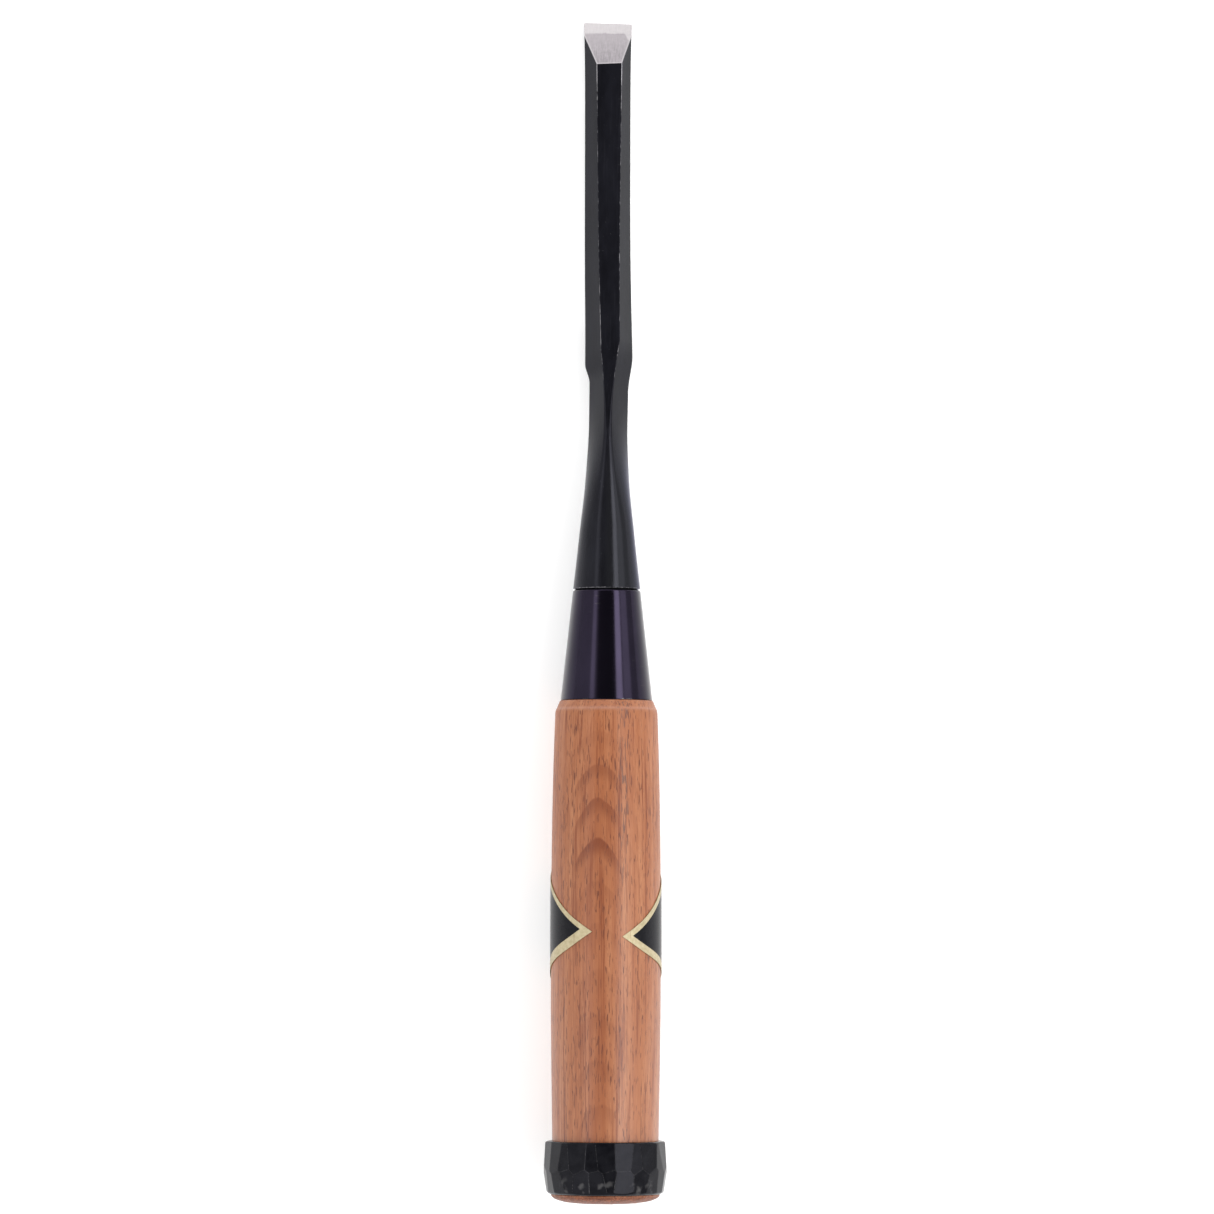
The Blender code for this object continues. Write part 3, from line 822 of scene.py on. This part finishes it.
def scale_finish(finish, wear):
    """Black forge scale: colour, roughness and bump, with bare metal showing through by wear."""
    cloud = finish.noise((0.35, 0.12, 0.35), 4.0, 0.6)
    grain = finish.noise((3.0, 1.2, 3.0), 4.0, 0.65)
    strokes = finish.noise((4.5, 0.08, 4.5), 2.0, 0.5, offset=(0, 9, 0))
    specks = finish.span(finish.noise((3.4, 2.6, 3.4), 2.0, 0.5, offset=(11, 3, 5)), 0.72, 0.78)
    black = finish.mix(finish.span(cloud, 0.3, 0.7), (0.0035, 0.0035, 0.0048), (0.0065, 0.0066, 0.009))
    black = finish.mix(finish.span(strokes, 0.55, 0.8, 0.0, 0.4), black, (0.016, 0.016, 0.02))
    black = finish.mix(finish.times(specks, 0.4), black, (0.1, 0.1, 0.108))
    shown = finish.span(finish.plus(wear, finish.centred(grain, 1.3)), 0.4, 0.85)
    colour = finish.mix(shown, black, (0.2, 0.195, 0.205))
    height = finish.plus(finish.times(grain, 0.6), finish.times(strokes, 0.7))
    rough = finish.span(grain, 0.3, 0.7, 0.15, 0.23)
    return colour, rough, height, shown


def forged_iron():
    """Black scale, bare on the bevel and worn ridges; painted highlight on the bevel's outline, painted
    sheen on the flare's right.
    """
    finish = Finish("forged_iron_scale")
    x, station, _ = finish.axes()
    near = finish.span(finish.value("ridge"), 0.04, 0.13, 1.0, 0.0)
    colour, rough, height, shown = scale_finish(finish, finish.times(finish.value("wear"), near))
    shown = finish.times(shown, near)
    ground, _ = bevel_colour(finish, station, x)
    # Smoother metal on the flare, with more of it towards the right side as a painted sheen where the right
    # light falls.
    rubbed_and_sheen = finish.times(finish.span(station, 75.0, 88.0), finish.span(x, -0.6, 0.8, 0.15, 1.0))
    colour = finish.mix(finish.minus(rubbed_and_sheen, shown), colour, (0.0155, 0.0158, 0.0185))
    inset = finish.value("inset")
    # Painted highlight: a lighter band along the bevel's outline, where its buffed, rounded edges catch the
    # light.
    outline = finish.span(inset, 0.08, 0.28, 0.7, 0.0)
    ground = finish.mix(outline, ground, (0.46, 0.435, 0.445))
    bare = finish.span(inset, -0.04, 0.04)
    sheen = finish.math("MAXIMUM", finish.times(shown, 0.8), finish.times(rubbed_and_sheen, 0.6))
    finish.set(
        Base_Color=finish.mix(bare, colour, ground),
        Metallic=finish.math("MAXIMUM", bare, sheen),
        Roughness=finish.math("MAXIMUM", rough, finish.times(bare, 0.5)),
        Normal=finish.bump(height, 0.008, 0.5),
        Specular_IOR_Level=0.125,
        Specular_Tint=(0.78, 0.78, 0.94),
    )
    return finish.material


def hard_steel():
    """Ground bright on the bevel and on the back, duller in the hollow, with scale on the sides."""
    finish = Finish("hard_steel_ground")
    x, station, _ = finish.axes()
    colour, _, _, shown = scale_finish(finish, 0.2)
    ground, tone = bevel_colour(finish, station, x)
    honed = finish.noise((0.5, 6.0, 0.5), 3.0, 0.6, offset=(2, 2, 2))
    back = finish.mix(finish.span(honed, 0.3, 0.7), (0.5, 0.49, 0.5), (0.6, 0.59, 0.6))
    cupped = finish.mix(finish.span(tone, 0.3, 0.7), (0.18, 0.175, 0.18), (0.27, 0.26, 0.27))
    back = finish.mix(finish.value("hollow"), back, cupped)
    normal = finish.node("ShaderNodeNewGeometry").outputs["True Normal"]
    up = finish.node("ShaderNodeSeparateXYZ", {0: normal}).outputs[2]
    below = finish.span(up, 0.0, -0.3)
    metal = finish.mix(below, ground, back)
    bare = finish.span(finish.value("bare"), 0.4, 0.6)
    finish.set(
        Base_Color=finish.mix(bare, colour, metal),
        Metallic=finish.math("MAXIMUM", bare, shown),
        Roughness=finish.span(tone, 0.3, 0.7, 0.38, 0.48),
        Normal=finish.bump(finish.plus(tone, honed), 0.004, 0.5),
    )
    return finish.material


def blued_ferrule():
    """Dark violet bluing over turning lines, with the bare metal at its knocks and scratches."""
    finish = Finish("blued_ferrule_turned")
    cloud = finish.noise((0.2, 0.1, 0.2), 3.0, 0.6)
    lines = finish.noise((0.12, 7.0, 0.12), 3.0, 0.6)
    scratch = finish.span(finish.noise((0.3, 5.0, 0.3), 2.0, 0.5, offset=(5, 1, 2)), 0.72, 0.76)
    violet = finish.mix(finish.span(cloud, 0.3, 0.7), (0.0175, 0.0145, 0.0245), (0.021, 0.0172, 0.0295))
    colour = finish.mix(finish.times(scratch, 0.2), violet, (0.2, 0.19, 0.17))
    patches = finish.noise((2.0, 2.0, 2.0), 3.0, 0.6, offset=(1, 8, 1))
    worn = finish.plus(finish.value("wear"), finish.minus(patches, 0.5))
    shown = finish.span(worn, 0.35, 0.7)
    finish.set(
        Base_Color=finish.mix(shown, colour, (0.3, 0.295, 0.28)),
        Metallic=1.0,
        Roughness=finish.span(lines, 0.3, 0.7, 0.12, 0.18),
        Normal=finish.bump(lines, 0.003, 0.4),
    )
    return finish.material


def growth_rings(finish, x, station, z):
    """Rings counted from the pith, which lies under the handle and drops towards the struck end."""
    warp = finish.noise((0.14, 0.045, 0.14), 2.0, 0.5)
    small = finish.noise((0.9, 0.12, 0.9), 3.0, 0.55, offset=(4, 4, 4))
    wander = finish.plus(finish.centred(warp, 0.7), finish.centred(small, 0.12))
    away = finish.minus(x, PITH_X)
    drop = finish.times(finish.minus(station, PITH_STATION), PITH_DROP)
    depth = finish.plus(finish.plus(z, PITH_DEPTH), finish.plus(drop, wander))
    square = finish.plus(finish.times(away, away), finish.times(depth, depth))
    return finish.math("DIVIDE", finish.math("SQRT", square), RING_SPACING)


def growth_arches(finish, x, station, count):
    """Dark latewood: all its bands, how strongly they show on the turned side, and the middle's share."""
    phase = finish.math("FRACT", count)
    number = finish.math("FLOOR", count)
    weight = finish.node("ShaderNodeTexWhiteNoise", {"W": number}, noise_dimensions="1D").outputs["Value"]
    fading = finish.minus(1.0, finish.span(phase, 0.14, 0.6))
    bands = finish.math("MINIMUM", fading, finish.span(phase, 0.0, 0.08))
    aside = finish.math("ABSOLUTE", finish.minus(x, ARCHES_MIDDLE))
    arches = finish.span(aside, 2.4, 5.0, 1.0, 0.2)
    arches = finish.times(arches, finish.span(station, ARCHES_START, ARCHES_FULL, 0.25, 1.0))
    arches = finish.times(arches, finish.span(station, ARCHES_FADE, ARCHES_END, 1.0, 0.35))
    strength = finish.times(arches, finish.span(weight, 0.0, 1.0, 0.55, 1.0))
    middle = finish.span(aside, 0.5, 4.5, 1.0, 0.0)
    middle = finish.times(middle, finish.span(station, ARCHES_START, 150.0, 0.25, 0.6))
    return bands, finish.times(bands, strength), middle


def wood_pores(finish, x, station):
    """Open pores all over, and in a band to the right greyer ones, whose grey is a painted reflection of
    the right light.
    """
    vessel = finish.noise((5.2, 0.45, 5.2), 1.0, 0.4, offset=(6, 2, 7))
    many = finish.noise((0.8, 0.05, 0.8), 2.0, 0.5, offset=(3, 8, 2))
    vessel = finish.plus(vessel, finish.span(many, 0.3, 0.7, -0.05, 0.05))
    second = finish.noise((4.2, 0.35, 4.2), 1.0, 0.4, offset=(1, 9, 4))
    # Band where the right light is reflected in the varnish: the pores here get a painted grey reflection.
    band = finish.span(finish.math("ABSOLUTE", finish.minus(x, 3.2)), 0.4, 1.5, 1.0, 0.0)
    band = finish.times(band, finish.span(station, 150.0, 165.0, 1.0, 0.35))
    pores_in_sheen_band = finish.times(finish.span(second, 0.56, 0.62), band)
    return finish.span(vessel, 0.625, 0.675), pores_in_sheen_band


def handle_wood():
    """Red-brown hardwood under a thin varnish, with bare end grain."""
    finish = Finish("handle_wood_varnished")
    x, station, z = finish.axes()
    count = growth_rings(finish, x, station, z)
    bands, late, middle = growth_arches(finish, x, station, count)
    pores, pores_in_sheen_band = wood_pores(finish, x, station)
    crush, end_grain = finish.value("crush"), finish.value("end_grain")
    broad = finish.noise((0.5, 0.022, 0.5), 3.0, 0.5, offset=(2, 0, 8))
    streak = finish.noise((2.1, 0.045, 2.1), 4.0, 0.6, offset=(9, 1, 0))
    fine = finish.noise((8.0, 0.3, 8.0), 3.0, 0.6, offset=(1, 6, 3))
    middle = finish.times(middle, finish.span(broad, 0.25, 0.7, 0.4, 1.0))
    colour = finish.mix(finish.span(broad, 0.3, 0.66), (0.335, 0.136, 0.062), (0.275, 0.094, 0.036))
    colour = finish.mix(middle, colour, (0.205, 0.058, 0.021))
    colour = finish.mix(finish.times(late, 0.95), colour, (0.13, 0.03, 0.01))
    colour = finish.mix(finish.span(streak, 0.49, 0.7, 0.0, 0.95), colour, (0.155, 0.038, 0.013))
    colour = finish.mix(finish.span(fine, 0.42, 0.68, 0.0, 0.5), colour, (0.2, 0.062, 0.026))
    colour = finish.mix(finish.times(pores, 0.8), colour, (0.09, 0.024, 0.012))
    # Pores in the right band, tinted grey as a painted reflection.
    colour = finish.mix(finish.times(pores_in_sheen_band, 0.7), colour, (0.07, 0.035, 0.03))
    colour = finish.mix(finish.times(crush, 0.45), colour, (0.36, 0.19, 0.135))
    tips = finish.noise((4.5, 0.6, 4.5), 2.0, 0.5, offset=(0, 3, 9))
    cut = finish.mix(finish.span(tips, 0.4, 0.62), (0.22, 0.07, 0.034), (0.07, 0.019, 0.009))
    cut = finish.mix(finish.times(bands, 0.6), cut, (0.065, 0.019, 0.009))
    colour = finish.mix(finish.times(end_grain, 0.9), colour, cut)
    height = finish.minus(finish.times(fine, 0.25), finish.math("MAXIMUM", pores, pores_in_sheen_band))
    varnish = finish.span(station, 130.0, 212.0, 0.15, 0.55)
    finish.set(
        Base_Color=colour,
        Roughness=finish.span(fine, 0.3, 0.7, 0.45, 0.58),
        Normal=finish.bump(height, 0.03, 0.5),
        Coat_Weight=finish.minus(varnish, finish.times(end_grain, 0.55)),
        Coat_Roughness=0.3,
        Specular_IOR_Level=0.2,
    )
    return finish.material


def blackened_iron():
    """Blackened hammer marks, rubbed bright on their ridges and in spots along the rear row."""
    finish = Finish("blackened_iron_hammered")
    _, station, _ = finish.axes()
    cloud = finish.noise((0.5, 0.5, 0.5), 3.0, 0.6)
    grain = finish.noise((4.0, 4.0, 4.0), 4.0, 0.6, offset=(3, 3, 3))
    scratch = finish.span(finish.noise((1.2, 3.6, 1.2), 3.0, 0.7, offset=(8, 0, 4)), 0.7, 0.76)
    near_rear = finish.span(station, HOOP_END - 4.5, HOOP_END - 0.8)
    black = finish.mix(finish.span(cloud, 0.3, 0.7), (0.0025, 0.0025, 0.0035), (0.006, 0.006, 0.0075))
    rubbed_and_sheen = finish.noise((0.42, 0.42, 0.42), 2.0, 0.5, offset=(4.2, 1.0, 6.0))
    polish = finish.times(finish.span(rubbed_and_sheen, 0.56, 0.72), near_rear)
    worn = finish.plus(finish.value("wear"), finish.centred(grain, 0.9))
    shown = finish.times(finish.span(worn, 0.6, 1.2), finish.span(near_rear, 0.0, 1.0, 0.2, 0.5))
    shown = finish.math("MAXIMUM", shown, finish.times(polish, 0.3))
    shown = finish.math("MAXIMUM", shown, finish.times(scratch, 0.12))
    finish.set(
        Base_Color=finish.mix(shown, black, (0.2, 0.195, 0.195)),
        Metallic=finish.times(shown, 0.9),
        Roughness=finish.span(grain, 0.3, 0.7, 0.13, 0.22),
        Normal=finish.bump(finish.plus(grain, cloud), 0.004, 0.5),
        Specular_IOR_Level=0.11,
        Specular_Tint=(0.8, 0.8, 0.92),
    )
    return finish.material


def label_film():
    """Glossy black film with a gold border, through which the wood shows at fine creases."""
    finish = Finish("label_film_printed")
    inset = finish.value("inset")
    gold_share = finish.span(inset, -0.03, 0.03, 1.0, 0.0)
    foil = finish.noise((1.5, 1.5, 1.5), 3.0, 0.6)
    crinkle = finish.noise((3.0, 0.15, 3.0), 2.0, 0.5, offset=(5, 5, 5))
    gold = finish.mix(finish.span(foil, 0.3, 0.7), (0.34, 0.288, 0.175), (0.42, 0.362, 0.235))
    through = finish.span(crinkle, 0.64, 0.71)
    gold = finish.mix(finish.times(through, 0.5), gold, (0.18, 0.1, 0.06))
    black = finish.mix(finish.span(foil, 0.3, 0.7), (0.005, 0.005, 0.006), (0.008, 0.008, 0.009))
    finish.set(
        Base_Color=finish.mix(gold_share, black, gold),
        Metallic=finish.times(gold_share, 0.25),
        Roughness=finish.span(gold_share, 0.0, 1.0, 0.22, 0.4),
        Normal=finish.bump(crinkle, 0.01, 0.35),
        Specular_IOR_Level=0.1,
        Specular_Tint=(0.8, 0.8, 0.92),
    )
    return finish.material


# ---------------------------------------------------------------- stage


def make_floor():
    """Pale sheet with a slight painted glow of its own, which lightens the tool's shadow on it."""
    size = 3.0
    corners = [(-size, -size, 0), (size, -size, 0), (size, size, 0), (-size, size, 0)]
    mesh = bpy.data.meshes.new("floor")
    mesh.from_pydata(corners, [], [(0, 1, 2, 3)])
    floor = bpy.data.objects.new("floor", mesh)
    bpy.context.scene.collection.objects.link(floor)
    finish = Finish("floor_pale")
    finish.set(Base_Color=(0.97, 0.97, 0.97), Roughness=0.9, Specular_IOR_Level=0.1)
    # Painted glow: the floor gives off a little light of its own, to fill in the tool's shadow.
    finish.set(Emission_Color=(1.0, 1.0, 1.0), Emission_Strength=0.12)
    mesh.materials.append(finish.material)


def add_softbox(name, lean, distance, width, length, power, forward=0.0):
    """Area light aimed at the tool, with its length along it.

    Lean is its angle to the right from straight above, and forward its angle towards the edge.
    """
    data = bpy.data.lights.new(name, "AREA")
    data.shape = "RECTANGLE"
    data.size = width
    data.size_y = length
    data.energy = power
    lamp = bpy.data.objects.new(name, data)
    bpy.context.scene.collection.objects.link(lamp)
    lean, forward = math.radians(lean), math.radians(forward)
    level = math.cos(forward)
    direction = Vector((math.sin(lean) * level, math.sin(forward), math.cos(lean) * level))
    across = Vector((0.0, 1.0, 0.0)).cross(direction).normalized()
    lamp.location = direction * distance
    lamp.rotation_euler = Matrix((across, direction.cross(across), direction)).transposed().to_euler()


def make_lights():
    add_softbox("right_key", 34.0, 0.6, 0.18, 0.8, 2.4)
    add_softbox("right_fill", 57.0, 0.6, 0.22, 0.8, 0.9)
    add_softbox("left_strip", -37.5, 0.6, 0.12, 0.8, 0.6)
    add_softbox("tip_fill", 0.0, 0.8, 0.6, 0.25, 0.7, forward=60.0)


def make_world():
    """Studio room: dark straight above, and on the left a little brighter than on the right."""
    world = bpy.data.worlds.new("studio")
    bpy.context.scene.world = world
    world.use_nodes = True
    tree = world.node_tree

    def span(value, low, high, to_low, to_high):
        node = tree.nodes.new("ShaderNodeMapRange")
        node.interpolation_type = "SMOOTHSTEP"
        tree.links.new(value, node.inputs["Value"])
        for key, number in (("From Min", low), ("From Max", high), ("To Min", to_low), ("To Max", to_high)):
            node.inputs[key].default_value = number
        return node.outputs[0]

    where = tree.nodes.new("ShaderNodeTexCoord")
    tilted = tree.nodes.new("ShaderNodeMapping")
    tilted.inputs["Rotation"].default_value = (math.radians(10.0), 0.0, 0.0)
    axes = tree.nodes.new("ShaderNodeSeparateXYZ")
    product = tree.nodes.new("ShaderNodeMath")
    product.operation = "MULTIPLY"
    tree.links.new(where.outputs["Generated"], tilted.inputs["Vector"])
    tree.links.new(tilted.outputs[0], axes.inputs[0])
    sides = span(axes.outputs[0], -0.3, 0.45, 1.45, 1.08)
    overhead = span(axes.outputs[2], 0.85, 0.92, 1.0, 0.18)
    tree.links.new(sides, product.inputs[0])
    tree.links.new(overhead, product.inputs[1])
    tree.links.new(product.outputs[0], tree.nodes["Background"].inputs["Strength"])
    tree.nodes["Background"].inputs["Color"].default_value = (1.0, 1.0, 1.0, 1.0)


def make_camera():
    """Straight above the tool, far enough for the perspective that its outline shows."""
    data = bpy.data.cameras.new("camera")
    data.sensor_width = 36.0
    height = 1.24
    frame_width = 0.22705
    data.lens = data.sensor_width * height / frame_width
    camera = bpy.data.objects.new("camera", data)
    bpy.context.scene.collection.objects.link(camera)
    camera.location = (0.07 * MM, 0.55 * MM, height)
    camera.rotation_euler = (0.0, 0.0, math.radians(0.13))
    bpy.context.scene.camera = camera


def place(piece, material, node):
    piece.data.materials.append(material)
    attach(piece, "root")
    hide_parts(node)


place(make_blade(), forged_iron(), "blade")
place(make_cutting_steel(), hard_steel(), "cutting_steel")
place(make_ferrule(), blued_ferrule(), "ferrule")
place(make_handle(), handle_wood(), "handle")
place(make_hoop(), blackened_iron(), "hoop")
place(make_label(), label_film(), "handle_label")

make_floor()
make_lights()
make_world()
make_camera()
bpy.context.scene.view_settings.view_transform = "Standard"
